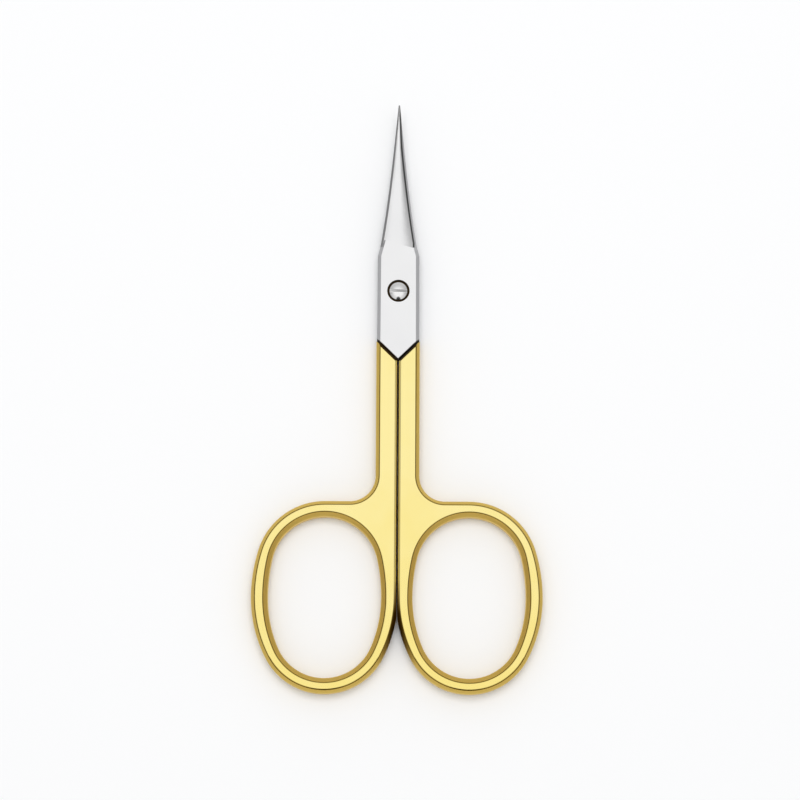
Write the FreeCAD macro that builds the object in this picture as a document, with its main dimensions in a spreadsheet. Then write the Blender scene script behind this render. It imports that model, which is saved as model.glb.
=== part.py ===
import FreeCAD, Part
import math
import os
import Sketcher

# Curved cuticle scissors: two crossed steel halves on one slotted screw, lying flat and closed.
# Each half is drawn as two solids that meet at the plating line, because the blade is bare steel
# and the handle is gold plated. The pivot axis is the Z axis of every body's own frame, +Y runs
# to the tip, and z = 0 is the underside of the handles. The placements at the end of each body
# move the middle of the whole outline over the origin.

doc = FreeCAD.newDocument("cuticle_scissors")

SIZES = (
    ("blade_reach", 28.7, "pivot to blade tip"),
    ("handle_reach", 61.6, "pivot to far end of the finger ring"),
    ("handle_thick", 3.6, "height of the plated handles"),
    ("face_step", 0.2, "how far the ground joint faces lie below the handle faces"),
    ("ride_gap", 0.04, "running gap between the two joint plates"),
    ("overrun", 1.0, "how far a cutting shape runs past what it cuts"),
    ("shank_reach", 3.32, "mid plane to the outer side of a shank"),
    ("handle_gap", 0.4, "slot between the closed handles, at their faces"),
    ("edge_bevel", 0.58, "bevel round the outside of a handle"),
    ("slot_bevel", 0.22, "what the slot leaves of that bevel on the inner side"),
    ("slot_lean", 0.16, "how far each side of the slot leans in to the middle of its height"),
    ("edge_round", 0.32, "polished rounding along both sides of a handle bevel"),
    ("web_fillet", 3.9, "hollow corner from shank to ring"),
    ("hole_wide", 17.2, "finger hole across"),
    ("hole_tall", 24.5, "finger hole lengthwise"),
    ("hole_top_share", 0.948, "top radius of the hole over half its width"),
    ("hole_end_share", 0.89, "end radius of the hole over half its width"),
    ("hole_bevel", 0.74, "bevel round the finger hole"),
    ("ring_band", 2.36, "width of the ring at its top and end"),
    ("ring_side_band", 2.53, "width of the ring at its sides"),
    ("shoulder_reach", 7.8, "pivot to the outer end of the shoulder"),
    ("apex_reach", 10.82, "pivot to the inner end of the shoulder"),
    ("shoulder_gap", 0.34, "clearance from a plate to the other half's shoulder"),
    ("shoulder_bevel", 0.2, "bevel along the shoulder of a handle"),
    ("corner_round", 0.45, "corner from shoulder to slot"),
    ("corner_lean_share", 0.9, "most of the slot's lean that this corner may take"),
    ("plate_inset", 0.07, "how far a plate lies inside the shank's side"),
    ("plate_head_wide", 6.34, "plate width at its blade end"),
    ("plate_bevel", 0.52, "bevel along the long sides of a plate"),
    ("seam_bevel", 0.08, "bevel of a plate along both shoulders"),
    ("seam_deep", 0.95, "groove between a plate and its own shoulder"),
    ("neck_reach", 5.5, "pivot to where the plate sides draw in"),
    ("spine_end_reach", 6.5, "pivot to the end of the plate face on the spine side"),
    ("edge_end_reach", 8.0, "pivot to the end of the plate face on the cutting side"),
    ("neck_inset", 0.06, "how far the drawn in plate lies inside the blade"),
    ("root_reach", 7.5, "pivot to the blade root"),
    ("root_wide", 5.38, "blade width at its root"),
    ("root_thick", 1.53, "blade thickness at its root"),
    ("tip_wide", 0.22, "blade width at its tip"),
    ("tip_thick", 0.42, "blade thickness at its tip"),
    ("facet_wide", 0.36, "facet above the cutting edge, seen from above"),
    ("facet_height_share", 0.9, "top of the edge facet over the thickness"),
    ("facet_rise_share", 0.78, "rise of the edge facet over its width"),
    ("spine_height_share", 0.66, "height of the spine over the thickness"),
    ("spine_bevel", 0.3, "bevel along the spine, seen from above"),
    ("bend_start", 6.5, "pivot to where the blades begin to curve up"),
    ("bend_radius", 95.0, "radius of the upward curve"),
    ("head_wide", 2.7, "screw head"),
    ("head_gap", 0.37, "radial gap from head to recess"),
    ("recess_deep", 0.7, "recess for the head in the upper plate"),
    ("seat_gap", 0.02, "running gap below the head"),
    ("rim_height", 0.5, "straight rim of the head"),
    ("dome_rise", 0.3, "domed top of the head above its rim"),
    ("slot_wide", 0.4, "driver slot across"),
    ("slot_deep", 0.3, "driver slot below the top of the dome"),
    ("journal_wide", 2.0, "smooth part of the screw in the upper plate"),
    ("journal_gap", 0.03, "radial running gap of the smooth part"),
    ("thread_wide", 1.7, "threaded part of the screw in the lower plate"),
    ("thread_gap", 0.02, "radial gap of the threaded part"),
    ("tail_bevel", 0.15, "bevel of the screw's end"),
)

# Shares of the blade's length, tip to root, at which its cross sections are drawn. The first
# one lies inside the plate so that blade and plate grow together.
STATION_SHARES = (1.12, 1.0, 0.75, 0.5, 0.25, 0.0)
# The width follows the length in part and its cube in part, which hollows both sides.
STRAIGHT_SHARE = 0.82

sheet = doc.addObject("Spreadsheet::Sheet", "Sizes")
for row, (alias, number, meaning) in enumerate(SIZES, start=1):
    sheet.set(f"A{row}", meaning)
    sheet.set(f"B{row}", str(number))
    sheet.setAlias(f"B{row}", alias)
doc.recompute()

# Levels and places that follow from the sizes
MIDDLE = "(Sizes.handle_thick / 2)"
PLATE_TOP = "(Sizes.handle_thick - Sizes.face_step)"
SLOT_SIDE = "(Sizes.handle_gap / 2)"
SLOT_WAIST = f"({SLOT_SIDE} - Sizes.slot_lean)"
RING_HALF = "(Sizes.hole_wide / 2 + Sizes.ring_side_band)"
RING_OFFSET = f"({SLOT_SIDE} + Sizes.slot_bevel - Sizes.edge_bevel + {RING_HALF})"
RING_CENTRE = "(Sizes.handle_reach - Sizes.ring_band - Sizes.hole_tall / 2)"
RING_TOP = "(Sizes.handle_reach - 2 * Sizes.ring_band - Sizes.hole_tall)"
TOP_ROUND = "(Sizes.hole_top_share * Sizes.hole_wide / 2)"
END_ROUND = "(Sizes.hole_end_share * Sizes.hole_wide / 2)"
TOP_PLACE = f"({RING_CENTRE} - Sizes.hole_tall / 2 + {TOP_ROUND})"
END_PLACE = f"({RING_CENTRE} + Sizes.hole_tall / 2 - {END_ROUND})"
SHOULDER_SLOPE = f"((Sizes.apex_reach - Sizes.shoulder_reach) / (Sizes.shank_reach - {SLOT_SIDE}))"
SHOULDER_SINE = f"({SHOULDER_SLOPE} / sqrt(1 + {SHOULDER_SLOPE} * {SHOULDER_SLOPE}))"
CORNER_LIMIT = f"(Sizes.corner_lean_share * Sizes.slot_lean / (1 - {SHOULDER_SINE}))"
CORNER_ROUND = f"min(Sizes.corner_round; {CORNER_LIMIT})"
WAIST_APEX = f"(Sizes.apex_reach + {SHOULDER_SLOPE} * Sizes.slot_lean)"
OWN_TAIL = f"(Sizes.apex_reach + {SHOULDER_SLOPE} * {SLOT_SIDE})"
CLEAR_TAIL = f"({OWN_TAIL} - Sizes.shoulder_gap * sqrt(1 + {SHOULDER_SLOPE} * {SHOULDER_SLOPE}))"
NECK_HALF = "(Sizes.root_wide / 2 - Sizes.neck_inset)"
NECK_SLOPE = f"((Sizes.plate_head_wide / 2 - {NECK_HALF}) / (Sizes.root_reach - Sizes.neck_reach))"
PIVOT_PLACE = "(Sizes.handle_reach - Sizes.blade_reach) / 2"

# Numbers that a sketch gives to the points of a line or an arc, to its two axes and its origin
START, END, CENTRE = range(1, 4)
ACROSS, UPRIGHT = range(-1, -3, -1)
ORIGIN = (ACROSS, START)
# Two lengths closer than this count as one
SAME = 1e-6


def size(formula):
    return float(sheet.evalExpression(formula))


def flat(point):
    return FreeCAD.Vector(point[0], point[1], 0)


def new_body(name):
    body = doc.addObject("PartDesign::Body", name)
    body.Label = name
    return body


def place(body, turned=False):
    if turned:
        half_turn = FreeCAD.Rotation(FreeCAD.Vector(0, 1, 0), 180)
        body.Placement = FreeCAD.Placement(FreeCAD.Vector(), half_turn)
        body.setExpression("Placement.Base.z", "Sizes.handle_thick")
    body.setExpression("Placement.Base.y", PIVOT_PLACE)
    doc.recompute()
    return body


def new_sketch(body, name, plane="XY_Plane", rise=None, away=None):
    """A sketch on one of the body's own planes, moved up its page by rise and off it by away."""
    sketch = body.newObject("Sketcher::SketchObject", f"{body.Name}_{name}")
    support = next(item for item in body.Origin.OriginFeatures if item.Role == plane)
    sketch.AttachmentSupport = [(support, "")]
    sketch.MapMode = "FlatFace"
    if rise:
        sketch.setExpression("AttachmentOffset.Base.y", rise)
    if away:
        sketch.setExpression("AttachmentOffset.Base.z", away)
    return sketch


class Trace:
    """A closed chain of lines and arcs in a sketch, with every end held to the next one."""

    def __init__(self, sketch):
        self.sketch = sketch
        self.pieces = []

    def line(self, start, end, smooth=False):
        index = self.sketch.addGeometry(Part.LineSegment(flat(start), flat(end)), False)
        self.pieces.append((index, START, END, smooth))
        return index

    def arc(self, centre, start, end, clockwise=False, smooth=True):
        first, last = (end, start) if clockwise else (start, end)
        radius = math.dist(centre, start)
        circle = Part.Circle(flat(centre), FreeCAD.Vector(0, 0, 1), radius)
        angles = [math.atan2(point[1] - centre[1], point[0] - centre[0]) for point in (first, last)]
        if angles[1] <= angles[0]:
            angles[1] += 2 * math.pi
        index = self.sketch.addGeometry(Part.ArcOfCircle(circle, *angles), False)
        ends = (END, START) if clockwise else (START, END)
        self.pieces.append((index, *ends, smooth))
        return index

    def close(self):
        for number, (index, near, far, smooth) in enumerate(self.pieces):
            before, _, before_far, _ = self.pieces[number - 1]
            kind = "Tangent" if smooth else "Coincident"
            self.sketch.addConstraint(Sketcher.Constraint(kind, before, before_far, index, near))


def hold(sketch, name, formula, kind, *where):
    """Give a sketch a driving size that follows a formula over the sheet."""
    number = sketch.addConstraint(Sketcher.Constraint(kind, *where, size(formula)))
    sketch.renameConstraint(number, name)
    sketch.setExpression(f"Constraints.{name}", formula)


def apart(sketch, name, formula, direction, one, other):
    """Hold two sketch points a distance apart along X or Y, whichever of them comes first."""
    axis = "xy".index(direction.lower())
    points = sorted((one, other), key=lambda point: sketch.getPoint(*point)[axis])
    hold(sketch, name, formula, f"Distance{direction}", *points[0], *points[1])


def tie(sketch, kind, *where):
    sketch.addConstraint(Sketcher.Constraint(kind, *where))


def pin(sketch, name, point, across, upright):
    """Hold a sketch point at a place given by two formulas, either of which may be negative."""
    for direction, axis, formula in (("X", UPRIGHT, across), ("Y", ACROSS, upright)):
        if abs(size(formula)) < SAME:
            tie(sketch, "PointOnObject", *point, axis)
        else:
            apart(sketch, f"{name}_{direction.lower()}", f"abs({formula})", direction, ORIGIN, point)


def draw_polygon(sketch, corners):
    """A closed chain of straight lines; every corner has a name and two formulas."""
    points = [(size(across), size(upright)) for _, across, upright in corners]
    trace = Trace(sketch)
    for start, end in zip(points, points[1:] + points[:1]):
        trace.line(start, end)
    trace.close()
    for (index, near, _, _), corner in zip(trace.pieces, corners):
        pin(sketch, corner[0], (index, near), *corner[1:])


def pad(body, sketch, length):
    feature = body.newObject("PartDesign::Pad", f"{sketch.Name}_pad")
    feature.Profile = sketch
    feature.setExpression("Length", length)
    doc.recompute()
    return feature


def cut_through(body, sketch):
    """Cut a sketch that lies before the body along its page's own upright through all of it."""
    feature = body.newObject("PartDesign::Pocket", f"{sketch.Name}_cut")
    feature.Profile = sketch
    feature.Type = "ThroughAll"
    feature.Reversed = True
    doc.recompute()
    return feature


def cut_down(body, sketch, depth, upwards=False):
    feature = body.newObject("PartDesign::Pocket", f"{sketch.Name}_cut")
    feature.Profile = sketch
    feature.Reversed = upwards
    feature.setExpression("Length", depth)
    doc.recompute()
    return feature


def break_edges(body, kind, name, formula, wanted):
    """Chamfer or fillet the edges of the body's last feature that a test picks out."""
    base = body.Tip
    edges = [f"Edge{n}" for n, edge in enumerate(base.Shape.Edges, start=1) if wanted(edge)]
    feature = body.newObject(f"PartDesign::{kind}", f"{body.Name}_{name}")
    feature.Base = (base, edges)
    feature.setExpression("Size" if kind == "Chamfer" else "Radius", formula)
    doc.recompute()
    return feature


def level_edge(edge, levels):
    box = edge.BoundBox
    return box.ZLength < SAME and any(abs(box.ZMin - level) < SAME for level in levels)


def side_meeting(half_wide, half_tall, end_round):
    """Where the end arc of an oval meets its side arc, and how far inside the side arc's centre is."""
    rise = half_tall - end_round
    side_round = (half_wide ** 2 + rise ** 2 - end_round ** 2) / (2 * (half_wide - end_round))
    inset = side_round - half_wide
    lean = side_round / (side_round - end_round)
    return (inset * lean - inset, rise * lean), inset


# Handles: shank, web and finger ring of one half

def draw_handle_outline(sketch):
    centre_x = size(RING_OFFSET)
    centre_y = -size(RING_CENTRE)
    half_wide = size(RING_HALF)
    half_tall = size("Sizes.hole_tall / 2 + Sizes.ring_band")
    top_round = size(f"{TOP_ROUND} + Sizes.ring_band")
    end_round = size(f"{END_ROUND} + Sizes.ring_band")
    shank = size("Sizes.shank_reach")
    inner = centre_x - half_wide
    blank_end = -size("Sizes.shoulder_reach - Sizes.overrun")
    ring_top = -size(RING_TOP)
    fillet = size("Sizes.web_fillet")
    (top_x, top_y), top_inset = side_meeting(half_wide, half_tall, top_round)
    (end_x, end_y), end_inset = side_meeting(half_wide, half_tall, end_round)
    outer_side = (centre_x + half_wide, centre_y)
    top_centre = (centre_x, ring_top - top_round)
    end_centre = (centre_x, centre_y - half_tall + end_round)

    trace = Trace(sketch)
    blank = trace.line((inner, blank_end), (shank, blank_end))
    side = trace.line((shank, blank_end), (shank, ring_top + fillet))
    web = trace.arc((shank + fillet, ring_top + fillet), (shank, ring_top + fillet),
                    (shank + fillet, ring_top))
    brow = trace.line((shank + fillet, ring_top), (centre_x, ring_top), smooth=True)
    top = trace.arc(top_centre, (centre_x, ring_top), (centre_x + top_x, centre_y + top_y), clockwise=True)
    upper = trace.arc((centre_x - top_inset, centre_y), (centre_x + top_x, centre_y + top_y), outer_side,
                      clockwise=True)
    trace.arc((centre_x - end_inset, centre_y), outer_side, (centre_x + end_x, centre_y - end_y),
              clockwise=True)
    end = trace.arc(end_centre, (centre_x + end_x, centre_y - end_y), (centre_x - end_x, centre_y - end_y),
                    clockwise=True)
    trace.arc((centre_x + end_inset, centre_y), (centre_x - end_x, centre_y - end_y),
              (inner, centre_y), clockwise=True)
    slot = trace.line((inner, centre_y), (inner, blank_end), smooth=True)
    trace.close()

    tie(sketch, "Horizontal", blank)
    tie(sketch, "Vertical", side)
    tie(sketch, "Horizontal", brow)
    tie(sketch, "Vertical", slot)
    tie(sketch, "Vertical", top, CENTRE, end, CENTRE)
    tie(sketch, "Horizontal", upper, CENTRE, upper, START)
    tie(sketch, "Horizontal", slot, START, upper, START)
    apart(sketch, "shank_side", "Sizes.shank_reach", "X", ORIGIN, (side, START))
    apart(sketch, "blank_end", "Sizes.shoulder_reach - Sizes.overrun", "Y", ORIGIN, (side, START))
    apart(sketch, "ring_top", RING_TOP, "Y", ORIGIN, (brow, START))
    apart(sketch, "ring_offset", RING_OFFSET, "X", ORIGIN, (end, CENTRE))
    apart(sketch, "end_centre", END_PLACE, "Y", ORIGIN, (end, CENTRE))
    apart(sketch, "ring_middle", RING_CENTRE, "Y", ORIGIN, (upper, START))
    apart(sketch, "outer_side", f"{RING_OFFSET} + {RING_HALF}", "X", ORIGIN, (upper, START))
    apart(sketch, "ring_wide", f"2 * {RING_HALF}", "X", (slot, START), (upper, START))
    hold(sketch, "web_round", "Sizes.web_fillet", "Radius", web)
    hold(sketch, "top_round", f"{TOP_ROUND} + Sizes.ring_band", "Radius", top)
    hold(sketch, "end_round", f"{END_ROUND} + Sizes.ring_band", "Radius", end)


def draw_finger_hole(sketch):
    centre_x = size(RING_OFFSET)
    centre_y = -size(RING_CENTRE)
    half_wide = size("Sizes.hole_wide / 2")
    half_tall = size("Sizes.hole_tall / 2")
    top_round = size(TOP_ROUND)
    end_round = size(END_ROUND)
    (top_x, top_y), top_inset = side_meeting(half_wide, half_tall, top_round)
    (end_x, end_y), end_inset = side_meeting(half_wide, half_tall, end_round)
    right = (centre_x + half_wide, centre_y)
    left = (centre_x - half_wide, centre_y)
    top_right = (centre_x + top_x, centre_y + top_y)
    top_left = (centre_x - top_x, centre_y + top_y)
    end_right = (centre_x + end_x, centre_y - end_y)
    end_left = (centre_x - end_x, centre_y - end_y)

    trace = Trace(sketch)
    top = trace.arc((centre_x, centre_y + half_tall - top_round), top_right, top_left)
    upper_left = trace.arc((centre_x + top_inset, centre_y), top_left, left)
    trace.arc((centre_x + end_inset, centre_y), left, end_left)
    end = trace.arc((centre_x, centre_y - half_tall + end_round), end_left, end_right)
    trace.arc((centre_x - end_inset, centre_y), end_right, right)
    upper_right = trace.arc((centre_x - top_inset, centre_y), right, top_right)
    trace.close()

    tie(sketch, "Vertical", top, CENTRE, end, CENTRE)
    tie(sketch, "Horizontal", upper_right, CENTRE, upper_right, START)
    tie(sketch, "Horizontal", upper_left, CENTRE, upper_left, END)
    tie(sketch, "Horizontal", upper_left, END, upper_right, START)
    apart(sketch, "ring_offset", RING_OFFSET, "X", ORIGIN, (top, CENTRE))
    apart(sketch, "right_side", f"{RING_OFFSET} + Sizes.hole_wide / 2", "X", ORIGIN, (upper_right, START))
    apart(sketch, "hole_wide", "Sizes.hole_wide", "X", (upper_left, END), (upper_right, START))
    apart(sketch, "hole_middle", RING_CENTRE, "Y", ORIGIN, (upper_right, START))
    apart(sketch, "top_centre", TOP_PLACE, "Y", ORIGIN, (top, CENTRE))
    apart(sketch, "end_centre", END_PLACE, "Y", ORIGIN, (end, CENTRE))
    hold(sketch, "top_round", TOP_ROUND, "Radius", top)
    hold(sketch, "end_round", END_ROUND, "Radius", end)


def draw_handle_trim(sketch):
    """All that lies past the slot between the handles and above the sloping shoulder."""
    slot = size(SLOT_WAIST)
    overrun = size("Sizes.overrun")
    slope = size(SHOULDER_SLOPE)
    corner = size(CORNER_ROUND)
    apex = -size(WAIST_APEX)
    bottom = -size("Sizes.handle_reach") - overrun
    right = size("Sizes.shank_reach") + overrun
    shoulder = apex + slope * (right - slot)
    left = -overrun
    tilt = math.atan(slope)
    run = corner * math.tan((math.pi / 2 - tilt) / 2)
    slot_end = (slot, apex - run)
    flank_start = (slot + run * math.cos(tilt), apex + run * math.sin(tilt))

    trace = Trace(sketch)
    side = trace.line((slot, bottom), slot_end)
    round_corner = trace.arc((slot + corner, apex - run), slot_end, flank_start, clockwise=True)
    flank = trace.line(flank_start, (right, shoulder), smooth=True)
    rise = trace.line((right, shoulder), (right, 0))
    roof = trace.line((right, 0), (left, 0))
    wall = trace.line((left, 0), (left, bottom))
    floor = trace.line((left, bottom), (slot, bottom))
    trace.close()

    tie(sketch, "Vertical", side)
    tie(sketch, "Vertical", rise)
    tie(sketch, "Vertical", wall)
    tie(sketch, "Horizontal", floor)
    tie(sketch, "PointOnObject", roof, START, ACROSS)
    tie(sketch, "PointOnObject", roof, END, ACROSS)
    apart(sketch, "slot_side", SLOT_WAIST, "X", ORIGIN, (side, START))
    apart(sketch, "past_ring", "Sizes.handle_reach + Sizes.overrun", "Y", ORIGIN, (side, START))
    apart(sketch, "past_slot", "Sizes.overrun", "X", ORIGIN, (wall, END))
    apart(sketch, "past_shank", "Sizes.shank_reach + Sizes.overrun", "X", ORIGIN, (flank, END))
    flank_run = f"(Sizes.shank_reach + Sizes.overrun - {SLOT_WAIST})"
    past_shoulder = f"{WAIST_APEX} - {SHOULDER_SLOPE} * {flank_run}"
    apart(sketch, "past_shoulder", past_shoulder, "Y", ORIGIN, (flank, END))
    hold(sketch, "corner_round", CORNER_ROUND, "Radius", round_corner)
    sharp_corner = sketch.addGeometry(Part.Point(flat((slot, apex))), True)
    tie(sketch, "PointOnObject", sharp_corner, START, side)
    tie(sketch, "PointOnObject", sharp_corner, START, flank)
    apart(sketch, "apex", WAIST_APEX, "Y", ORIGIN, (sharp_corner, START))


def draw_slot_lean(sketch):
    """What the slot takes off its side above and below the middle of the height."""
    past = "-Sizes.overrun"
    draw_polygon(sketch, (
        ("waist", SLOT_WAIST, MIDDLE),
        ("top", SLOT_SIDE, "Sizes.handle_thick"),
        ("past_top", past, "Sizes.handle_thick"),
        ("past_foot", past, "0"),
        ("foot", SLOT_SIDE, "0"),
    ))


def build_handle(name, turned):
    body = new_body(name)
    thick = size("Sizes.handle_thick")
    faces = (0, thick)
    blank_end = -size("Sizes.shoulder_reach - Sizes.overrun")
    ring_middle = FreeCAD.Vector(size(RING_OFFSET), -size(RING_CENTRE), thick / 2)
    half_hole = FreeCAD.Vector(size("Sizes.hole_wide"), size("Sizes.hole_tall"), thick) / 2
    hole_area = FreeCAD.BoundBox(ring_middle - half_hole, ring_middle + half_hole)
    hole_area.enlarge(size("Sizes.ring_band / 2"))
    apex = -size("Sizes.apex_reach")
    slot = size(SLOT_SIDE)

    outline = new_sketch(body, "outline")
    draw_handle_outline(outline)
    pad(body, outline, "Sizes.handle_thick")
    break_edges(body, "Chamfer", "outer_bevel", "Sizes.edge_bevel",
                lambda edge: level_edge(edge, faces) and edge.BoundBox.YMin < blank_end - SAME)

    hole = new_sketch(body, "finger_hole")
    draw_finger_hole(hole)
    cut_through(body, hole)
    break_edges(body, "Chamfer", "hole_bevel", "Sizes.hole_bevel",
                lambda edge: level_edge(edge, faces) and hole_area.isInside(edge.BoundBox))

    trim = new_sketch(body, "trim")
    draw_handle_trim(trim)
    cut_through(body, trim)
    lean = new_sketch(body, "slot_lean", "XZ_Plane")
    draw_slot_lean(lean)
    cut_through(body, lean)
    break_edges(body, "Chamfer", "shoulder_bevel", "Sizes.shoulder_bevel",
                lambda edge: level_edge(edge, faces) and edge.CenterOfMass.y > apex)

    hole_feet = (size("Sizes.hole_bevel"), thick - size("Sizes.hole_bevel"))
    outer_feet = (size("Sizes.edge_bevel"), thick - size("Sizes.edge_bevel"))
    break_edges(body, "Fillet", "hole_round", "Sizes.edge_round",
                lambda edge: level_edge(edge, hole_feet))
    break_edges(body, "Fillet", "face_round", "Sizes.edge_round",
                lambda edge: level_edge(edge, faces) and edge.CenterOfMass.y < apex)
    break_edges(body, "Fillet", "outer_round", "Sizes.edge_round",
                lambda edge: level_edge(edge, outer_feet) and edge.CenterOfMass.x > slot + SAME)
    return place(body, turned)


build_handle("upper_handle", turned=True)
build_handle("lower_handle", turned=False)


# Blades: joint plate and blade of one half. The spine lies on the +X side where spine_side is 1
# and on the other where it is -1. Outward is 1 for the half on top and -1 for the half below.

def draw_plate_blank(sketch):
    tail_half = "(Sizes.shank_reach - Sizes.plate_inset)"
    tail = "-(Sizes.apex_reach + Sizes.overrun)"
    head_half = "(Sizes.plate_head_wide / 2)"
    head = "(Sizes.edge_end_reach + Sizes.overrun)"
    draw_polygon(sketch, (
        ("tail_left", f"-{tail_half}", tail),
        ("tail_right", tail_half, tail),
        ("head_right", head_half, head),
        ("head_left", f"-{head_half}", head),
    ))


def draw_tail_trim(sketch, spine_side):
    """All behind the two shoulders: the plate meets its own shoulder and clears the other one."""
    past = "(Sizes.shank_reach + Sizes.overrun)"
    deep = "-(Sizes.apex_reach + 2 * Sizes.overrun)"
    draw_polygon(sketch, (
        ("own_end", f"{-spine_side} * {past}", f"{SHOULDER_SLOPE} * {past} - {OWN_TAIL}"),
        ("apex", f"{-spine_side} * ({OWN_TAIL} - {CLEAR_TAIL}) / (2 * {SHOULDER_SLOPE})",
         f"-({OWN_TAIL} + {CLEAR_TAIL}) / 2"),
        ("clear_end", f"{spine_side} * {past}", f"{SHOULDER_SLOPE} * {past} - {CLEAR_TAIL}"),
        ("clear_deep", f"{spine_side} * {past}", deep),
        ("own_deep", f"{-spine_side} * {past}", deep),
    ))


def draw_seam_groove(sketch, spine_side):
    """The strip of the plate face along its own shoulder, as wide as the clearance to the other one."""
    past = f"{-spine_side} * (Sizes.shank_reach + Sizes.overrun)"
    rise = f"{SHOULDER_SLOPE} * (Sizes.shank_reach + Sizes.overrun)"
    draw_polygon(sketch, (
        ("far_end", past, f"{rise} - {CLEAR_TAIL}"),
        ("apex", "0", f"-{CLEAR_TAIL}"),
        ("below_apex", "0", f"-({OWN_TAIL} + Sizes.overrun)"),
        ("below_end", past, f"{rise} - ({OWN_TAIL} + Sizes.overrun)"),
    ))


def draw_head_trim(sketch, spine_side):
    """All outside the drawn in neck and past the sloping end of the plate face."""
    past = "(Sizes.plate_head_wide / 2 + Sizes.overrun)"
    neck_foot = f"Sizes.neck_reach - Sizes.overrun / {NECK_SLOPE}"
    far = "(Sizes.edge_end_reach + 2 * Sizes.overrun)"
    spine_half = f"({NECK_HALF} + {NECK_SLOPE} * (Sizes.root_reach - Sizes.spine_end_reach))"
    edge_half = f"({NECK_HALF} + {NECK_SLOPE} * (Sizes.root_reach - Sizes.edge_end_reach))"
    draw_polygon(sketch, (
        ("spine_foot", f"{spine_side} * {past}", neck_foot),
        ("spine_end", f"{spine_side} * {spine_half}", "Sizes.spine_end_reach"),
        ("edge_end", f"{-spine_side} * {edge_half}", "Sizes.edge_end_reach"),
        ("edge_foot", f"{-spine_side} * {past}", neck_foot),
        ("edge_far", f"{-spine_side} * {past}", far),
        ("spine_far", f"{spine_side} * {past}", far),
    ))


def draw_blade_section(sketch, spine_side, outward, share):
    """One cross section: edge facet, crowned outer face and spine bevel, run on below the ride face."""
    width_share = STRAIGHT_SHARE * share + (1 - STRAIGHT_SHARE) * share ** 3
    facet_share = 1 - (1 - min(share, 1)) ** 3
    half = f"((Sizes.tip_wide + (Sizes.root_wide - Sizes.tip_wide) * {width_share:.6f}) / 2)"
    thick = f"(Sizes.tip_thick + (Sizes.root_thick - Sizes.tip_thick) * {min(share, 1):.6f})"
    facet = f"(Sizes.tip_wide / 4 + (Sizes.facet_wide - Sizes.tip_wide / 4) * {facet_share:.6f})"
    bevel = f"(Sizes.tip_wide / 4 + (Sizes.spine_bevel - Sizes.tip_wide / 4) * {facet_share:.6f})"
    under = f"{-outward} * Sizes.overrun"
    edge = f"{-spine_side} * {half}"
    spine = f"{spine_side} * {half}"
    facet_top = f"{-spine_side} * ({half} - {facet})"
    facet_level = f"{outward} * Sizes.facet_height_share * {thick}"
    facet_foot = f"{outward} * (Sizes.facet_height_share * {thick} - Sizes.facet_rise_share * {facet})"
    bevel_top = f"{spine_side} * ({half} - {bevel})"
    bevel_level = f"{outward} * Sizes.spine_height_share * {thick}"
    bevel_foot = f"{outward} * (Sizes.spine_height_share * {thick} - {bevel})"
    top_left = (size(facet_top), size(facet_level))
    top_right = (size(bevel_top), size(bevel_level))
    crown_top = (0, outward * size(thick))
    centre = Part.Circle(flat(top_left), flat(crown_top), flat(top_right)).Center

    trace = Trace(sketch)
    wall = trace.line((size(edge), size(under)), (size(edge), size(facet_foot)))
    facet_line = trace.line((size(edge), size(facet_foot)), top_left)
    crown = trace.arc((centre.x, centre.y), top_left, top_right, spine_side * outward > 0, smooth=False)
    bevel_line = trace.line(top_right, (size(spine), size(bevel_foot)))
    spine_line = trace.line((size(spine), size(bevel_foot)), (size(spine), size(under)))
    trace.line((size(spine), size(under)), (size(edge), size(under)))
    trace.close()
    pin(sketch, "edge_under", (wall, START), edge, under)
    pin(sketch, "facet_foot", (wall, END), edge, facet_foot)
    pin(sketch, "facet_top", (facet_line, END), facet_top, facet_level)
    pin(sketch, "bevel_top", (bevel_line, START), bevel_top, bevel_level)
    pin(sketch, "bevel_foot", (spine_line, START), spine, bevel_foot)
    pin(sketch, "spine_under", (spine_line, END), spine, under)
    crown_point = sketch.addGeometry(Part.Point(flat(crown_top)), True)
    pin(sketch, "crown", (crown_point, START), "0", f"{outward} * {thick}")
    tie(sketch, "PointOnObject", crown_point, START, crown)


def draw_ride_trim(sketch, outward):
    """What lies past the ride face, drawn from the pivot axis outwards; it is turned about that axis,
    so that the two halves slide past each other at any opening."""
    past = "(Sizes.blade_reach + Sizes.overrun)"
    bend_end = f"(Sizes.bend_radius - sqrt(Sizes.bend_radius ^ 2 - ({past} - Sizes.bend_start) ^ 2))"
    depth = "-Sizes.handle_thick" if outward > 0 else f"{bend_end} + Sizes.handle_thick"
    start = (size("Sizes.bend_start"), 0)
    end = (size(past), size(bend_end))
    centre = (start[0], size("Sizes.bend_radius"))

    trace = Trace(sketch)
    ride = trace.line((0, 0), start)
    trace.arc(centre, start, end)
    wall = trace.line(end, (end[0], size(depth)))
    base = trace.line((end[0], size(depth)), (0, size(depth)))
    trace.line((0, size(depth)), (0, 0))
    trace.close()
    pin(sketch, "axis", (ride, START), "0", "0")
    pin(sketch, "bend_start", (ride, END), "Sizes.bend_start", "0")
    pin(sketch, "bend_end", (wall, START), past, bend_end)
    pin(sketch, "wall_foot", (wall, END), past, depth)
    pin(sketch, "axis_foot", (base, END), "0", depth)


def draw_circle(sketch, width):
    circle = Part.Circle(FreeCAD.Vector(), FreeCAD.Vector(0, 0, 1), size(width) / 2)
    index = sketch.addGeometry(circle, False)
    tie(sketch, "Coincident", index, CENTRE, *ORIGIN)
    hold(sketch, "width", width, "Diameter", index)


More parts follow.
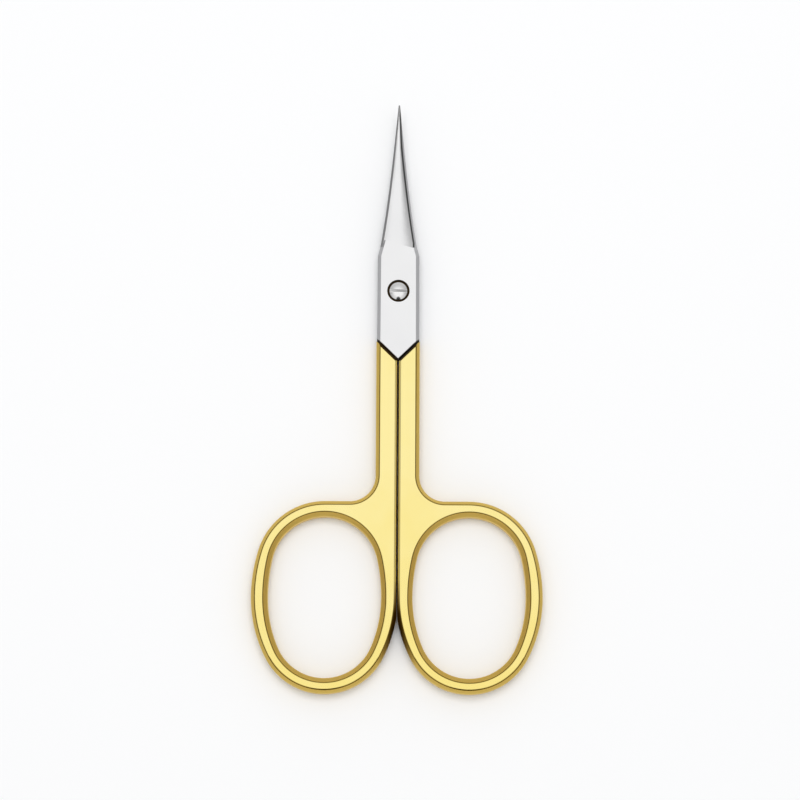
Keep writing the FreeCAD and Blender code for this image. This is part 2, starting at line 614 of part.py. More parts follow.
def build_blade(name, spine_side, outward):
    body = new_body(name)
    outer_face = size(PLATE_TOP) if outward > 0 else size("Sizes.face_step")
    base = f"{MIDDLE} - Sizes.overrun" if outward > 0 else "Sizes.face_step"
    shoulder = -size("Sizes.shoulder_reach")

    blank = new_sketch(body, "plate", away=base)
    draw_plate_blank(blank)
    pad(body, blank, f"{MIDDLE} - Sizes.face_step + Sizes.overrun")
    head = new_sketch(body, "head_trim")
    draw_head_trim(head, spine_side)
    cut_through(body, head)
    break_edges(body, "Chamfer", "plate_bevel", "Sizes.plate_bevel",
                lambda edge: level_edge(edge, (outer_face,)) and edge.BoundBox.XMin * edge.BoundBox.XMax > 0)
    tail = new_sketch(body, "tail_trim")
    draw_tail_trim(tail, spine_side)
    cut_through(body, tail)
    seam = new_sketch(body, "seam", away=PLATE_TOP if outward > 0 else "Sizes.face_step")
    draw_seam_groove(seam, spine_side)
    cut_down(body, seam, "Sizes.seam_deep", upwards=outward < 0)

    sections = []
    for number, share in enumerate(STATION_SHARES):
        reach = f"(Sizes.blade_reach - (Sizes.blade_reach - Sizes.root_reach) * {share})"
        past_bend = f"max(0; {reach} - Sizes.bend_start)"
        bend = f"Sizes.bend_radius - sqrt(Sizes.bend_radius ^ 2 - ({past_bend}) ^ 2)"
        section = new_sketch(body, f"section_{number}", "XZ_Plane", f"{MIDDLE} + {bend}", f"-{reach}")
        draw_blade_section(section, spine_side, outward, share)
        sections.append(section)
    doc.recompute()
    blade = body.newObject("PartDesign::AdditiveLoft", f"{name}_blade")
    blade.Profile = sections[0]
    blade.Sections = sections[1:]
    doc.recompute()

    ride = new_sketch(body, "ride_trim", "XZ_Plane", f"{MIDDLE} + {outward} * Sizes.ride_gap / 2")
    draw_ride_trim(ride, outward)
    groove = body.newObject("PartDesign::Groove", f"{name}_ride")
    groove.Profile = ride
    groove.ReferenceAxis = (ride, ["V_Axis"])
    groove.Angle = 360
    doc.recompute()

    bore = new_sketch(body, "bore")
    if outward > 0:
        draw_circle(bore, "Sizes.journal_wide + 2 * Sizes.journal_gap")
    else:
        draw_circle(bore, "Sizes.thread_wide + 2 * Sizes.thread_gap")
    cut_through(body, bore)
    break_edges(body, "Chamfer", "seam_bevel", "Sizes.seam_bevel",
                lambda edge: level_edge(edge, (outer_face,)) and edge.CenterOfMass.y < shoulder)
    if outward > 0:
        recess = new_sketch(body, "recess", away=PLATE_TOP)
        draw_circle(recess, "Sizes.head_wide + 2 * Sizes.head_gap")
        cut_down(body, recess, "Sizes.recess_deep")
    return place(body)


build_blade("upper_blade", spine_side=1, outward=1)
build_blade("lower_blade", spine_side=-1, outward=-1)


# Pivot screw: domed slotted head in the upper plate's recess, smooth journal, end in the lower plate

def draw_screw_profile(sketch):
    seat = f"({PLATE_TOP} - Sizes.recess_deep + Sizes.seat_gap)"
    shelf = f"({MIDDLE} - Sizes.ride_gap / 2)"
    rim = f"({seat} + Sizes.rim_height)"
    crown = f"({rim} + Sizes.dome_rise)"
    thread = "(Sizes.thread_wide / 2)"
    journal = "(Sizes.journal_wide / 2)"
    head = "(Sizes.head_wide / 2)"
    dome_round = f"(({head} ^ 2 + Sizes.dome_rise ^ 2) / (2 * Sizes.dome_rise))"
    corners = (
        ("end", "0", "Sizes.face_step"),
        ("end_rim", f"{thread} - Sizes.tail_bevel", "Sizes.face_step"),
        ("thread_foot", thread, "Sizes.face_step + Sizes.tail_bevel"),
        ("thread_top", thread, shelf),
        ("journal_foot", journal, shelf),
        ("journal_top", journal, seat),
        ("head_foot", head, seat),
        ("head_rim", head, rim),
        ("crown", "0", crown),
    )
    points = [(size(across), size(upright)) for _, across, upright in corners]

    trace = Trace(sketch)
    for start, end in zip(points[:-1], points[1:-1]):
        trace.line(start, end)
    dome = trace.arc((0, size(f"{crown} - {dome_round}")), points[-2], points[-1], smooth=False)
    trace.line(points[-1], points[0])
    trace.close()
    for (index, near, _, _), corner in zip(trace.pieces, corners):
        pin(sketch, corner[0], (index, near), *corner[1:])
    tie(sketch, "PointOnObject", dome, CENTRE, UPRIGHT)
    return crown


def build_screw(name):
    body = new_body(name)
    profile = new_sketch(body, "profile", "XZ_Plane")
    crown = draw_screw_profile(profile)
    turned = body.newObject("PartDesign::Revolution", f"{name}_turned")
    turned.Profile = profile
    turned.ReferenceAxis = (profile, ["V_Axis"])
    turned.Angle = 360
    doc.recompute()

    slot = new_sketch(body, "slot", away=crown)
    half_long = "(Sizes.head_wide / 2 + Sizes.overrun)"
    half_wide = "(Sizes.slot_wide / 2)"
    draw_polygon(slot, (
        ("low_left", f"-{half_long}", f"-{half_wide}"),
        ("low_right", half_long, f"-{half_wide}"),
        ("high_right", half_long, half_wide),
        ("high_left", f"-{half_long}", half_wide),
    ))
    cut_down(body, slot, "Sizes.slot_deep")
    return place(body)


build_screw("pivot_screw")

bodies = [item for item in doc.Objects if item.isDerivedFrom("PartDesign::Body")]
faults = [item.Name for item in doc.Objects if {"Invalid", "Error"} & set(item.State)]
faults += [body.Name for body in bodies if body.Shape.isNull() or not body.Shape.isValid()]
for item in doc.Objects:
    if item.isDerivedFrom("Sketcher::SketchObject") and not item.FullyConstrained:
        faults.append(item.Name)
if faults:
    raise RuntimeError(f"not built cleanly: {faults}")

os.makedirs("parts", exist_ok=True)
for body in bodies:
    body.Shape.exportStep(f"parts/{body.Label}.step")
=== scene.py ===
import bpy
import math

from mathutils import Matrix, Vector

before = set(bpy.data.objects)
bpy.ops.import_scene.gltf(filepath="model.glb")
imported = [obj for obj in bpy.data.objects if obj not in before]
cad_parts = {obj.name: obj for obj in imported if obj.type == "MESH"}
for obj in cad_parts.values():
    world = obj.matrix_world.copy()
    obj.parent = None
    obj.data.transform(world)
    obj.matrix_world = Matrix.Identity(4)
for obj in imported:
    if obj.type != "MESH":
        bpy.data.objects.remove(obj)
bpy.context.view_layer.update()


# Handles: shank, web and oval finger ring of each half, the plated end of a steel forging.
# Pressed hot, bevelled all round, buffed bright and then gold plated in a bath. The flats are a pale
# gold as painted highlight, paler towards the shank, and the rougher bevels a deeper gold as painted
# shade; the faces in the slot are duller and darkened with painted shade.

def new_material(name):
    material = bpy.data.materials.new(name)
    material.use_nodes = True
    nodes = material.node_tree.nodes
    return material, nodes, material.node_tree.links, nodes["Principled BSDF"]


def new_group(name, inputs, outputs):
    """A shader node group of float inputs (name: default) and float outputs (names)."""
    group = bpy.data.node_groups.new(name, "ShaderNodeTree")
    for socket, default in inputs.items():
        made = group.interface.new_socket(socket, in_out="INPUT", socket_type="NodeSocketFloat")
        made.default_value = default
    for socket in outputs:
        group.interface.new_socket(socket, in_out="OUTPUT", socket_type="NodeSocketFloat")
    entry = group.nodes.new("NodeGroupInput")
    leave = group.nodes.new("NodeGroupOutput")
    return group, group.nodes, group.links, entry, leave


def place_group(nodes, group, **values):
    node = nodes.new("ShaderNodeGroup")
    node.node_tree = group
    for socket, value in values.items():
        node.inputs[socket].default_value = value
    return node


def calculate(nodes, operation, *values):
    node = nodes.new("ShaderNodeMath")
    node.operation = operation
    for socket, value in zip(node.inputs, values):
        socket.default_value = value
    return node


def blend_colours(nodes, first, second):
    node = nodes.new("ShaderNodeMix")
    node.data_type = "RGBA"
    node.inputs["A"].default_value = first
    node.inputs["B"].default_value = second
    return node


def ramp_between(nodes, start, end, low=0, high=1):
    """A value that goes from low at start to high at end, and no further."""
    node = nodes.new("ShaderNodeMapRange")
    node.inputs["From Min"].default_value = start
    node.inputs["From Max"].default_value = end
    node.inputs["To Min"].default_value = low
    node.inputs["To Max"].default_value = high
    return node


def wear(nodes, links, surface, strength):
    """Wheel marks in a surface, as a relief of hair lines."""
    marks = place_group(nodes, wheel_marks)
    relief = nodes.new("ShaderNodeBump")
    relief.inputs["Strength"].default_value = strength
    relief.inputs["Distance"].default_value = HAIR_DEEP
    links.new(marks.outputs["Hair"], relief.inputs["Height"])
    links.new(relief.outputs["Normal"], surface.inputs["Normal"])
    return marks


def finish_faces(piece, material, chosen):
    """Give the faces that chosen picks, by middle and normal, a finish of their own."""
    piece.data.materials.append(material)
    slot = len(piece.data.materials) - 1
    for face in piece.data.polygons:
        if chosen(face.center, face.normal):
            face.material_index = slot


# Mask of the slopes: 0 on faces that look straight up or down, 1 on bevels and walls
LEVEL_SHARE = 0.99
SLOPED_SHARE = 0.78

group, nodes, links, entry, leave = new_group(
    "slope_mask", {"Level": LEVEL_SHARE, "Sloped": SLOPED_SHARE}, ["Slope"])
place = nodes.new("ShaderNodeTexCoord")
split = nodes.new("ShaderNodeSeparateXYZ")
upright = calculate(nodes, "ABSOLUTE")
ramp = nodes.new("ShaderNodeMapRange")
links.new(place.outputs["Normal"], split.inputs[0])
links.new(split.outputs["Z"], upright.inputs[0])
links.new(upright.outputs[0], ramp.inputs["Value"])
links.new(entry.outputs["Level"], ramp.inputs["From Min"])
links.new(entry.outputs["Sloped"], ramp.inputs["From Max"])
links.new(ramp.outputs[0], leave.inputs["Slope"])
slope_mask = group

# Marks of the polishing wheel: hair lines along the piece over a slow unevenness of the surface
HAIR_FINE = 30000.0
HAIR_STRETCH = 0.02
HAIR_DEEP = 0.00001
HAIR_LAYERS = 3
HAZE_FINE = 180.0
HAZE_LAYERS = 2

group, nodes, links, entry, leave = new_group(
    "wheel_marks", {"Lines": HAIR_FINE, "Stretch": HAIR_STRETCH, "Wave": HAZE_FINE}, ["Hair", "Haze"])
place = nodes.new("ShaderNodeTexCoord")
squeeze = nodes.new("ShaderNodeCombineXYZ")
squeeze.inputs["X"].default_value = 1
squeeze.inputs["Z"].default_value = 1
stretch = nodes.new("ShaderNodeVectorMath")
stretch.operation = "MULTIPLY"
hair = nodes.new("ShaderNodeTexNoise")
hair.inputs["Detail"].default_value = HAIR_LAYERS
wave = nodes.new("ShaderNodeTexNoise")
wave.inputs["Detail"].default_value = HAZE_LAYERS
links.new(entry.outputs["Stretch"], squeeze.inputs["Y"])
links.new(place.outputs["Object"], stretch.inputs[0])
links.new(squeeze.outputs[0], stretch.inputs[1])
links.new(stretch.outputs[0], hair.inputs["Vector"])
links.new(entry.outputs["Lines"], hair.inputs["Scale"])
links.new(place.outputs["Object"], wave.inputs["Vector"])
links.new(entry.outputs["Wave"], wave.inputs["Scale"])
links.new(hair.outputs["Fac"], leave.inputs["Hair"])
links.new(wave.outputs["Fac"], leave.inputs["Haze"])
wheel_marks = group

# Pale golds on the flats are painted highlight; the bevel, edge, slot and corner golds are painted
# shade
PALE_HIGHLIGHT_GOLD = (0.988, 0.852, 0.375, 1)
DEEP_HIGHLIGHT_GOLD = (0.955, 0.785, 0.255, 1)
PAINTED_LINE_GOLD = (0.24, 0.135, 0.006, 1)
BEVEL_SHADE_GOLD = (0.72, 0.51, 0.125, 1)
SLOT_SHADE_GOLD = (0.50, 0.31, 0.07, 1)
CORNER_SHADE_GOLD = (0.11, 0.055, 0.005, 1)
EDGE_LEVEL_SHARE = 0.995
EDGE_SLOPED_SHARE = 0.93
BEVEL_LEVEL_SHARE = 0.80
BEVEL_SLOPED_SHARE = 0.72
FLAT_GLOSS = 0.10
BEVEL_GLOSS = 0.42
SLOT_GLOSS = 0.50
SLOT_HAZE = 0.62
PLATING_HAIR = 0.03
PALE_END = -0.008
RING_END = -0.045
CLOUD_SHARE = 0.5
SLOT_LIP = 0.00062
LIP_END = 0.0008
SLOT_FOOT = -0.028
FOOT_END = -0.033
WEDGE_HEAD = 0.0008
WEDGE_END = 0.003
SHOULDER_FOOT = 0.0052

plating, nodes, links, surface = new_material("gold_plating")
place = nodes.new("ShaderNodeTexCoord")
split = nodes.new("ShaderNodeSeparateXYZ")
along = ramp_between(nodes, PALE_END, RING_END)
cloud = ramp_between(nodes, 0, 1, -CLOUD_SHARE, CLOUD_SHARE)
clouded = calculate(nodes, "ADD")
clouded.use_clamp = True
flat_tone = blend_colours(nodes, PALE_HIGHLIGHT_GOLD, DEEP_HIGHLIGHT_GOLD)
# The edge mask places a painted dark line, standing in for reflection, where the flats roll over into
# the bevels
edge = place_group(nodes, slope_mask, Level=EDGE_LEVEL_SHARE, Sloped=EDGE_SLOPED_SHARE)
bevel = place_group(nodes, slope_mask, Level=BEVEL_LEVEL_SHARE, Sloped=BEVEL_SLOPED_SHARE)
painted_line_tone = blend_colours(nodes, PALE_HIGHLIGHT_GOLD, PAINTED_LINE_GOLD)
tone = blend_colours(nodes, PAINTED_LINE_GOLD, BEVEL_SHADE_GOLD)
# The painted dark line and the painted bevel shade are left off the narrow bevels along the slot, which
# keep the flats' pale tone, and painted shade darkens the bevels in the wedge between the two rings
beside = calculate(nodes, "ABSOLUTE")
past_lip = ramp_between(nodes, SLOT_LIP, LIP_END)
past_foot = ramp_between(nodes, SLOT_FOOT, FOOT_END)
off_slot = calculate(nodes, "MAXIMUM")
painted_line_share = calculate(nodes, "MULTIPLY")
bevel_shade_share = calculate(nodes, "MULTIPLY")
in_wedge = ramp_between(nodes, WEDGE_END, WEDGE_HEAD)
facing = nodes.new("ShaderNodeSeparateXYZ")
outward = calculate(nodes, "MULTIPLY")
faces_wedge = calculate(nodes, "LESS_THAN", 0, 0)
wedge_bevel = calculate(nodes, "MULTIPLY")
wedge_shade_share = calculate(nodes, "MULTIPLY")
wedge_shade_tone = blend_colours(nodes, BEVEL_SHADE_GOLD, CORNER_SHADE_GOLD)
gloss = ramp_between(nodes, 0, 1, FLAT_GLOSS, BEVEL_GLOSS)
marks = wear(nodes, links, surface, PLATING_HAIR)
links.new(place.outputs["Object"], split.inputs[0])
links.new(split.outputs["Y"], along.inputs["Value"])
links.new(marks.outputs["Haze"], cloud.inputs["Value"])
links.new(along.outputs[0], clouded.inputs[0])
links.new(cloud.outputs[0], clouded.inputs[1])
links.new(clouded.outputs[0], flat_tone.inputs["Factor"])
links.new(flat_tone.outputs["Result"], painted_line_tone.inputs["A"])
links.new(split.outputs["X"], beside.inputs[0])
links.new(beside.outputs[0], past_lip.inputs["Value"])
links.new(split.outputs["Y"], past_foot.inputs["Value"])
links.new(past_lip.outputs[0], off_slot.inputs[0])
links.new(past_foot.outputs[0], off_slot.inputs[1])
links.new(edge.outputs["Slope"], painted_line_share.inputs[0])
links.new(off_slot.outputs[0], painted_line_share.inputs[1])
links.new(bevel.outputs["Slope"], bevel_shade_share.inputs[0])
links.new(off_slot.outputs[0], bevel_shade_share.inputs[1])
links.new(painted_line_share.outputs[0], painted_line_tone.inputs["Factor"])
links.new(painted_line_tone.outputs["Result"], tone.inputs["A"])
links.new(bevel_shade_share.outputs[0], tone.inputs["Factor"])
links.new(beside.outputs[0], in_wedge.inputs["Value"])
links.new(place.outputs["Normal"], facing.inputs[0])
links.new(split.outputs["X"], outward.inputs[0])
links.new(facing.outputs["X"], outward.inputs[1])
links.new(outward.outputs[0], faces_wedge.inputs[0])
links.new(in_wedge.outputs[0], wedge_bevel.inputs[0])
links.new(faces_wedge.outputs[0], wedge_bevel.inputs[1])
links.new(wedge_bevel.outputs[0], wedge_shade_share.inputs[0])
links.new(past_foot.outputs[0], wedge_shade_share.inputs[1])
links.new(wedge_shade_share.outputs[0], wedge_shade_tone.inputs["Factor"])
links.new(wedge_shade_tone.outputs["Result"], tone.inputs["B"])
links.new(tone.outputs["Result"], surface.inputs["Base Color"])
links.new(bevel.outputs["Slope"], gloss.inputs["Value"])
links.new(gloss.outputs[0], surface.inputs["Roughness"])
surface.inputs["Metallic"].default_value = 1

# Duller plating in the slot, darkened with painted shade, and the darkest painted shade on the shoulder
# behind the joint plates
dull_shaded_plating, nodes, links, surface = new_material("gold_plating_in_gaps")
place = nodes.new("ShaderNodeTexCoord")
split = nodes.new("ShaderNodeSeparateXYZ")
at_shoulder = calculate(nodes, "GREATER_THAN", 0, SHOULDER_FOOT)
tone = blend_colours(nodes, SLOT_SHADE_GOLD, CORNER_SHADE_GOLD)
links.new(place.outputs["Object"], split.inputs[0])
links.new(split.outputs["Y"], at_shoulder.inputs[0])
links.new(at_shoulder.outputs[0], tone.inputs["Factor"])
links.new(tone.outputs["Result"], surface.inputs["Base Color"])
gloss = ramp_between(nodes, 0, 1, SLOT_GLOSS, SLOT_HAZE)
marks = wear(nodes, links, surface, PLATING_HAIR)
links.new(marks.outputs["Haze"], gloss.inputs["Value"])
links.new(gloss.outputs[0], surface.inputs["Roughness"])
surface.inputs["Metallic"].default_value = 1

SLOT_REACH = 0.0003
STEEP_SHARE = 0.5
SHOULDER_SHARE = 0.4
BEVEL_SHARE = 0.8


def faces_gap(middle, normal):
    in_slot = abs(middle.x) < SLOT_REACH and abs(normal.x) > STEEP_SHARE > abs(normal.z)
    on_shoulder = middle.y > SHOULDER_FOOT and normal.y > SHOULDER_SHARE and abs(normal.z) < BEVEL_SHARE
    return in_slot or on_shoulder


for name in ("lower_handle", "upper_handle"):
    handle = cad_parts[name]
    handle.data.materials.clear()
    handle.data.materials.append(plating)
    finish_faces(handle, dull_shaded_plating, faces_gap)


# Blades: joint plate and curved blade of each half, bare stainless steel ground to a fine satin.
# The plates are milled to half thickness where they cross. The sloped faces of the grind are darkened
# with painted shade, a painted dark line along the spine stands in for its reflection, and painted
# shade darkens the corner between plate and shoulder.

BLADE_STEEL = (0.88, 0.88, 0.885, 1)
CLOUD_STEEL = (0.82, 0.82, 0.825, 1)
GRIND_SHADE_STEEL = (0.53, 0.53, 0.54, 1)
PAINTED_DARK_STEEL = (0.12, 0.12, 0.12, 1)
GAP_SHADE_STEEL = (0.075, 0.05, 0.025, 1)
GRIND_LEVEL_SHARE = 0.985
GRIND_SLOPED_SHARE = 0.80
FACE_GLOSS = 0.16
GRIND_GLOSS = 0.36
GAP_GLOSS = 0.50
GAP_HAZE = 0.62
STEEL_HAIR = 0.05
BLADE_TIP = 0.04515
BLADE_ROOT = 0.02395
TIP_HALF = 0.00011
HALF_GAIN = 0.00258
STRAIGHT_SHARE = 0.82
CUBE_POWER = 3
LINE_START = 0.0233
LINE_INSET = 0.00038
LINE_INSET_SHARE = 0.5
LINE_HALF = 0.00014
LEAN_SHARE = 0.1
FACET_LEAN_SHARE = -0.3
FACET_SHARE = 0.45
SHOULDER_APEX = 0.005436
SHOULDER_SLOPE_SHARE = 0.968
CORNER_REACH = 0.00055
RIDE_LEVEL = 0.0018
RIDE_SPAN = 0.0003

steel, nodes, links, surface = new_material("blade_steel")
# The slope mask darkens the sloped faces of the grind with painted shade
slope = place_group(nodes, slope_mask, Level=GRIND_LEVEL_SHARE, Sloped=GRIND_SLOPED_SHARE)
flat_tone = blend_colours(nodes, BLADE_STEEL, CLOUD_STEEL)
tone = blend_colours(nodes, BLADE_STEEL, GRIND_SHADE_STEEL)
painted_dark_tone = blend_colours(nodes, BLADE_STEEL, PAINTED_DARK_STEEL)
gloss = ramp_between(nodes, 0, 1, FACE_GLOSS, GRIND_GLOSS)
marks = wear(nodes, links, surface, STEEL_HAIR)
place = nodes.new("ShaderNodeTexCoord")
spot = nodes.new("ShaderNodeSeparateXYZ")
facing = nodes.new("ShaderNodeSeparateXYZ")
links.new(place.outputs["Object"], spot.inputs[0])
links.new(place.outputs["Normal"], facing.inputs[0])

# Half the blade's width grows with its length and the cube of it. The painted dark line, which stands
# in for the reflection in the rounded spine, keeps an inset from that, less towards the tip, and lies
# only on the outer face, which leans towards the spine. The facet above the cutting edge leans the
# other way and takes about half of the line's tone.
outward = calculate(nodes, "SIGN")
across = calculate(nodes, "MULTIPLY")
share = ramp_between(nodes, BLADE_TIP, BLADE_ROOT)
cube = calculate(nodes, "POWER", 0, CUBE_POWER)
straight = calculate(nodes, "MULTIPLY_ADD", 0, HALF_GAIN * STRAIGHT_SHARE, TIP_HALF)
half = calculate(nodes, "MULTIPLY_ADD", 0, HALF_GAIN * (1 - STRAIGHT_SHARE))
inset = calculate(nodes, "SUBTRACT")
tip_inset = calculate(nodes, "MULTIPLY", 0, LINE_INSET_SHARE)
line_inset = calculate(nodes, "MINIMUM", 0, LINE_INSET)
at_line = calculate(nodes, "COMPARE", 0, 0, LINE_HALF)
lean = calculate(nodes, "MULTIPLY")
leaning = calculate(nodes, "GREATER_THAN", 0, LEAN_SHARE)
outer_line = calculate(nodes, "MULTIPLY")
facet = calculate(nodes, "LESS_THAN", 0, FACET_LEAN_SHARE)
facet_line = calculate(nodes, "MULTIPLY", 0, FACET_SHARE)
deepest = calculate(nodes, "MAXIMUM")
past_root = calculate(nodes, "GREATER_THAN", 0, LINE_START)
line = calculate(nodes, "MULTIPLY")
links.new(facing.outputs["Z"], outward.inputs[0])
links.new(spot.outputs["X"], across.inputs[0])
links.new(outward.outputs[0], across.inputs[1])
links.new(spot.outputs["Y"], share.inputs["Value"])
links.new(share.outputs[0], cube.inputs[0])
links.new(share.outputs[0], straight.inputs[0])
links.new(cube.outputs[0], half.inputs[0])
links.new(straight.outputs[0], half.inputs[2])
links.new(half.outputs[0], inset.inputs[0])
links.new(across.outputs[0], inset.inputs[1])
links.new(half.outputs[0], tip_inset.inputs[0])
links.new(tip_inset.outputs[0], line_inset.inputs[0])
links.new(inset.outputs[0], at_line.inputs[0])
links.new(line_inset.outputs[0], at_line.inputs[1])
links.new(facing.outputs["X"], lean.inputs[0])
links.new(facing.outputs["Z"], lean.inputs[1])
links.new(lean.outputs[0], leaning.inputs[0])
links.new(lean.outputs[0], facet.inputs[0])
links.new(facet.outputs[0], facet_line.inputs[0])
links.new(spot.outputs["Y"], past_root.inputs[0])
links.new(at_line.outputs[0], outer_line.inputs[0])
links.new(leaning.outputs[0], outer_line.inputs[1])
links.new(outer_line.outputs[0], deepest.inputs[0])
links.new(facet_line.outputs[0], deepest.inputs[1])
links.new(deepest.outputs[0], line.inputs[0])
links.new(past_root.outputs[0], line.inputs[1])

# The corner is the strip of the ride face that lies along the shoulders, darkened with the painted dark
# tone as painted shade
aside = calculate(nodes, "ABSOLUTE")
shoulder = calculate(nodes, "MULTIPLY_ADD", 0, SHOULDER_SLOPE_SHARE, SHOULDER_APEX)
clear = calculate(nodes, "SUBTRACT")
close_by = calculate(nodes, "LESS_THAN", 0, CORNER_REACH)
at_ride = calculate(nodes, "COMPARE", 0, RIDE_LEVEL, RIDE_SPAN)
corner = calculate(nodes, "MULTIPLY")
links.new(spot.outputs["X"], aside.inputs[0])
links.new(aside.outputs[0], shoulder.inputs[0])
links.new(spot.outputs["Y"], clear.inputs[0])
links.new(shoulder.outputs[0], clear.inputs[1])
links.new(clear.outputs[0], close_by.inputs[0])
links.new(spot.outputs["Z"], at_ride.inputs[0])
links.new(close_by.outputs[0], corner.inputs[0])
links.new(at_ride.outputs[0], corner.inputs[1])

dark = calculate(nodes, "MAXIMUM")
links.new(line.outputs[0], dark.inputs[0])
links.new(corner.outputs[0], dark.inputs[1])
links.new(marks.outputs["Haze"], flat_tone.inputs["Factor"])
links.new(flat_tone.outputs["Result"], tone.inputs["A"])
links.new(slope.outputs["Slope"], tone.inputs["Factor"])
links.new(tone.outputs["Result"], painted_dark_tone.inputs["A"])
links.new(dark.outputs[0], painted_dark_tone.inputs["Factor"])
links.new(painted_dark_tone.outputs["Result"], surface.inputs["Base Color"])
links.new(slope.outputs["Slope"], gloss.inputs["Value"])
links.new(gloss.outputs[0], surface.inputs["Roughness"])
surface.inputs["Metallic"].default_value = 1

# Duller steel on the faces in gaps, grooves and recesses and on the screw's rim, darkened with painted
# shade
dull_shaded_steel, nodes, links, surface = new_material("blade_steel_in_gaps")
gloss = ramp_between(nodes, 0, 1, GAP_GLOSS, GAP_HAZE)
marks = wear(nodes, links, surface, STEEL_HAIR)
links.new(marks.outputs["Haze"], gloss.inputs["Value"])
links.new(gloss.outputs[0], surface.inputs["Roughness"])
surface.inputs["Base Color"].default_value = GAP_SHADE_STEEL
surface.inputs["Metallic"].default_value = 1

PIVOT = Vector((0, 0.01645))
TAIL_HEAD = 0.0095
RIDE_FACE = 0.0020
PLATE_FACE = 0.0033
RECESS_REACH = 0.0018


def steel_faces_gap(middle, normal):
    from_pivot = (middle.xy - PIVOT).length
    sunk = RIDE_FACE < middle.z < PLATE_FACE
    at_tail = middle.y < TAIL_HEAD and normal.y < -STEEP_SHARE and abs(normal.z) < STEEP_SHARE
    in_groove = sunk and middle.y < TAIL_HEAD and normal.z > STEEP_SHARE
    in_recess = sunk and from_pivot < RECESS_REACH
    return at_tail or in_groove or in_recess


for name in ("lower_blade", "upper_blade"):
    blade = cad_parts[name]
    blade.data.materials.clear()
    blade.data.materials.append(steel)
    finish_faces(blade, dull_shaded_steel, steel_faces_gap)


# Pivot screw: turned steel with a domed head, polished bright, and a sawn driver slot left dull and
# darkened with painted shade; the rim around the head takes the gaps' painted shade.
# It goes down through the upper plate and is screwed into the lower one.

SCREW_STEEL = (0.88, 0.88, 0.88, 1)
SAWN_SHADE_STEEL = (0.30, 0.30, 0.30, 1)
DOME_GLOSS = 0.08
DOME_HAZE = 0.16
SAWN_GLOSS = 0.35
SAWN_HAZE = 0.50
DOME_HAIR = 0.02

bright, nodes, links, surface = new_material("screw_steel")
gloss = ramp_between(nodes, 0, 1, DOME_GLOSS, DOME_HAZE)
marks = wear(nodes, links, surface, DOME_HAIR)
links.new(marks.outputs["Haze"], gloss.inputs["Value"])
links.new(gloss.outputs[0], surface.inputs["Roughness"])
surface.inputs["Base Color"].default_value = SCREW_STEEL
surface.inputs["Metallic"].default_value = 1

sawn, nodes, links, surface = new_material("screw_steel_in_slot")
gloss = ramp_between(nodes, 0, 1, SAWN_GLOSS, SAWN_HAZE)
marks = wear(nodes, links, surface, STEEL_HAIR)
links.new(marks.outputs["Haze"], gloss.inputs["Value"])
links.new(gloss.outputs[0], surface.inputs["Roughness"])
surface.inputs["Base Color"].default_value = SAWN_SHADE_STEEL
surface.inputs["Metallic"].default_value = 1

HEAD_FOOT = 0.0026
RIM_REACH = 0.0012
SLOT_HALF = 0.00021
FLOOR_HALF = 0.000105
DOME_SHARE = 0.9


def is_rim(middle, normal):
    return (middle.xy - PIVOT).length > RIM_REACH and abs(normal.z) < STEEP_SHARE


def is_in_slot(middle, normal):
    across = abs(middle.y - PIVOT.y)
    side = abs(normal.y) > DOME_SHARE and across < SLOT_HALF
    floor = normal.z > DOME_SHARE and across < FLOOR_HALF
    return middle.z > HEAD_FOOT and (side or floor)


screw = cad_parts["pivot_screw"]
screw.data.materials.clear()
screw.data.materials.append(bright)
finish_faces(screw, dull_shaded_steel, is_rim)
finish_faces(screw, sawn, is_in_slot)


# Table: a plain white sheet under the scissors. It isn't part of the object.

TABLE_HALF = 2.0
TABLE_WHITE = (0.962, 0.966, 0.972, 1)

sheet = bpy.data.meshes.new("table")
corners = [(-TABLE_HALF, -TABLE_HALF, 0), (TABLE_HALF, -TABLE_HALF, 0), (TABLE_HALF, TABLE_HALF, 0),
           (-TABLE_HALF, TABLE_HALF, 0)]
sheet.from_pydata(corners, [], [(0, 1, 2, 3)])
table = bpy.data.objects.new("table", sheet)
bpy.context.scene.collection.objects.link(table)
paper, nodes, links, surface = new_material("white_sheet")
surface.inputs["Base Color"].default_value = TABLE_WHITE
surface.inputs["Roughness"].default_value = 1
surface.inputs["Specular IOR Level"].default_value = 0
sheet.materials.append(paper)


# Light: a tent with a white roof and greyer walls, which is what polished metal shows, and one
# lamp above that gives the scissors a soft shadow. The walls are palest at the front and back,
# and a small dark screen hangs at the front to draw lines in the polished edges.

ROOF_EDGE = math.radians(17)
ROOF_FOOT = math.radians(47)
DARK_WALL = 0.40
PALE_WALL = 0.72
PALE_SIDE = (0, 1, 0)
SCREEN_TILT = math.radians(35)
SCREEN_PLACE = (0, -math.sin(SCREEN_TILT), math.cos(SCREEN_TILT))
SCREEN_REACH = math.radians(8)
SCREEN_FADE = math.radians(13)
SCREEN_DARK = 0.03

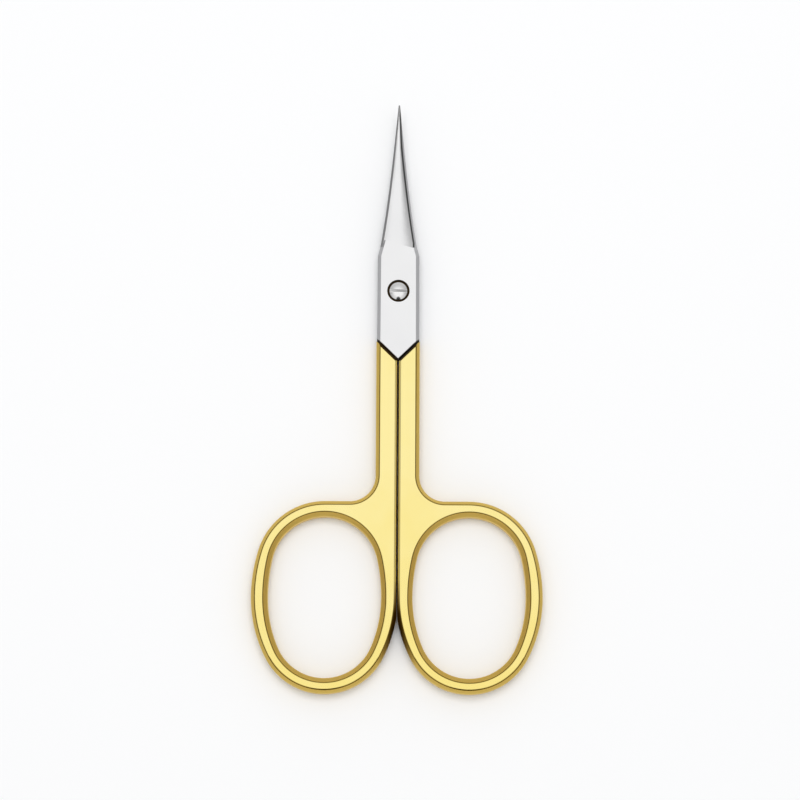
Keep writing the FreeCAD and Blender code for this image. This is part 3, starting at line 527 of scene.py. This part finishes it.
world = bpy.data.worlds.new("light_tent")
bpy.context.scene.world = world
world.use_nodes = True
nodes = world.node_tree.nodes
links = world.node_tree.links
place = nodes.new("ShaderNodeTexCoord")
split = nodes.new("ShaderNodeSeparateXYZ")
down = calculate(nodes, "ARCCOSINE")
roof = ramp_between(nodes, ROOF_FOOT, ROOF_EDGE)
roof.interpolation_type = "SMOOTHSTEP"
side = nodes.new("ShaderNodeVectorMath")
side.operation = "DOT_PRODUCT"
side.inputs[1].default_value = PALE_SIDE
either_side = calculate(nodes, "ABSOLUTE")
wall = ramp_between(nodes, 0, 1, DARK_WALL, PALE_WALL)
cloth = nodes.new("ShaderNodeMix")
cloth.inputs["B"].default_value = 1
towards_screen = nodes.new("ShaderNodeVectorMath")
towards_screen.operation = "DOT_PRODUCT"
towards_screen.inputs[1].default_value = SCREEN_PLACE
screen = ramp_between(nodes, math.cos(SCREEN_FADE), math.cos(SCREEN_REACH))
screened = nodes.new("ShaderNodeMix")
screened.inputs["B"].default_value = SCREEN_DARK
sight = nodes.new("ShaderNodeLightPath")
backdrop = nodes.new("ShaderNodeMix")
backdrop.inputs["B"].default_value = 1
links.new(place.outputs["Generated"], split.inputs[0])
links.new(place.outputs["Generated"], side.inputs[0])
links.new(split.outputs["Z"], down.inputs[0])
links.new(down.outputs[0], roof.inputs["Value"])
links.new(side.outputs["Value"], either_side.inputs[0])
links.new(either_side.outputs[0], wall.inputs["Value"])
links.new(wall.outputs[0], cloth.inputs["A"])
links.new(roof.outputs[0], cloth.inputs["Factor"])
links.new(sight.outputs["Is Camera Ray"], backdrop.inputs["Factor"])
links.new(place.outputs["Generated"], towards_screen.inputs[0])
links.new(towards_screen.outputs["Value"], screen.inputs["Value"])
links.new(cloth.outputs["Result"], screened.inputs["A"])
links.new(screen.outputs[0], screened.inputs["Factor"])
links.new(screened.outputs["Result"], backdrop.inputs["A"])
links.new(backdrop.outputs["Result"], nodes["Background"].inputs["Color"])

LAMP_PLACE = (0, 0.10, 0.8)
LAMP_WIDE = 0.4
LAMP_WATTS = 2.5

lamp_data = bpy.data.lights.new("table_lamp", "AREA")
lamp_data.size = LAMP_WIDE
lamp_data.energy = LAMP_WATTS
lamp = bpy.data.objects.new("table_lamp", lamp_data)
lamp.location = LAMP_PLACE
lamp.visible_glossy = False
bpy.context.scene.collection.objects.link(lamp)


# Camera: above the scissors and a little towards the rings, with a long lens.

LENS = 150.0
SENSOR = 36.0
VIEW_WIDE = 0.1224
ELEVATION = math.radians(82.1)
ROLL = math.radians(0.30)
AIM = Vector((0.00033, -0.00022, 0.0018))

eye = bpy.data.cameras.new("camera")
eye.lens = LENS
eye.sensor_width = SENSOR
camera = bpy.data.objects.new("camera", eye)
back = Vector((0, -math.cos(ELEVATION), math.sin(ELEVATION)))
turn = (-back).to_track_quat("-Z", "Y").to_matrix() @ Matrix.Rotation(ROLL, 3, "Z")
camera.location = AIM + back * (VIEW_WIDE * LENS / SENSOR)
camera.rotation_euler = turn.to_euler()
bpy.context.scene.collection.objects.link(camera)
bpy.context.scene.camera = camera

bpy.context.scene.view_settings.view_transform = "Standard"
